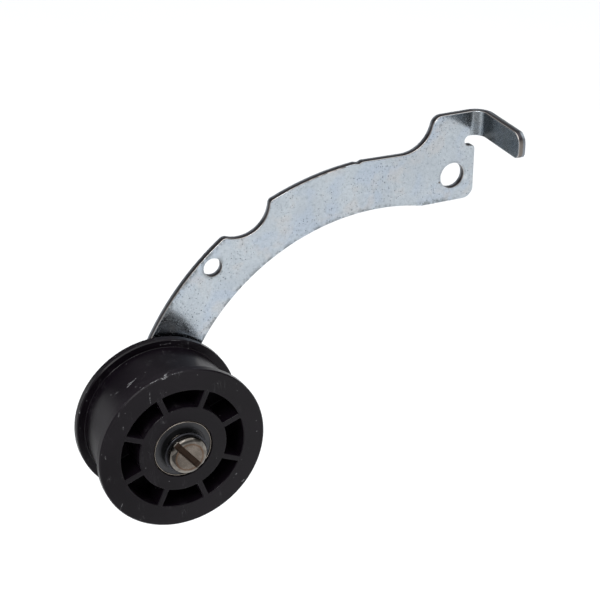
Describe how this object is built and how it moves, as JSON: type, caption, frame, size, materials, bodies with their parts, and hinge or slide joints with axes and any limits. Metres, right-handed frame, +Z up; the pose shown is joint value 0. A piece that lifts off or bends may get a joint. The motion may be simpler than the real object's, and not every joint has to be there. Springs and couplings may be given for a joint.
{
  "type": "belt tensioner idler",
  "caption": "Curved plate lever with a flanged belt pulley on two ball bearings, a pivot bore, a spring hole and a bent stop tab.",
  "frame": {"origin": "centre of the lever's pivot bore, at the middle of the plate's thickness", "axes": "+Y along the pivot bore, from the pulley side through the plate to its back; X along the lever, +X away from the pulley; +Z up, with the pulley hanging below the pivot"},
  "size_m": [0.1671, 0.0481, 0.1268],
  "materials": {
    "zinc_plate": "zinc plated sheet steel, satin, finely speckled",
    "black_nylon": "moulded glass-filled nylon, satin, scuffed rims",
    "screw_steel": "turned bright steel, lightly tarnished",
    "washer_steel": "dark bright-rolled washer",
    "turned_steel": "turned steel",
    "spring_steel": "blackened spring steel",
    "zinc_fastener": "bright zinc plated",
    "bearing_steel": "ground bearing steel",
    "ball_steel": "lapped balls",
    "seal_rubber": "moulded nitrile rubber over a steel insert, satin",
    "cage_nylon": "moulded nylon"
  },
  "bodies": {
    "lever": {"lever_arm": "zinc_plate", "axle_screw": "screw_steel", "head_washer": "washer_steel", "front_collar": "turned_steel", "front_inner_race": "bearing_steel", "spacer_sleeve": "turned_steel", "rear_inner_race": "bearing_steel", "rear_collar": "turned_steel", "lock_washer": "spring_steel", "hex_nut": "zinc_fastener"},
    "pulley": {"pulley_wheel": "black_nylon", "front_outer_race": "bearing_steel", "rear_outer_race": "bearing_steel", "front_outside_seal": "seal_rubber", "front_inside_seal": "seal_rubber", "rear_outside_seal": "seal_rubber", "rear_inside_seal": "seal_rubber"},
    "front_ball_set": {"front_cage": "cage_nylon", "front_balls": "ball_steel"},
    "rear_ball_set": {"rear_cage": "cage_nylon", "rear_balls": "ball_steel"}
  },
  "joints": [
    {"name": "pulley_spin", "type": "hinge", "parent": "lever", "child": "pulley", "pos_m": [-0.1225, -0.01678, -0.0715], "axis": [0, -1, 0], "continuous": true},
    {"name": "front_cage_spin", "type": "hinge", "parent": "lever", "child": "front_ball_set", "pos_m": [-0.1225, -0.02687, -0.0715], "axis": [0, -1, 0], "continuous": true},
    {"name": "rear_cage_spin", "type": "hinge", "parent": "lever", "child": "rear_ball_set", "pos_m": [-0.1225, -0.00688, -0.0715], "axis": [0, -1, 0], "continuous": true}
  ],
  "couplings": [
    {"joint": "front_cage_spin", "follows": "pulley_spin", "ratio": 0.6323},
    {"joint": "rear_cage_spin", "follows": "pulley_spin", "ratio": 0.6323}
  ]
}
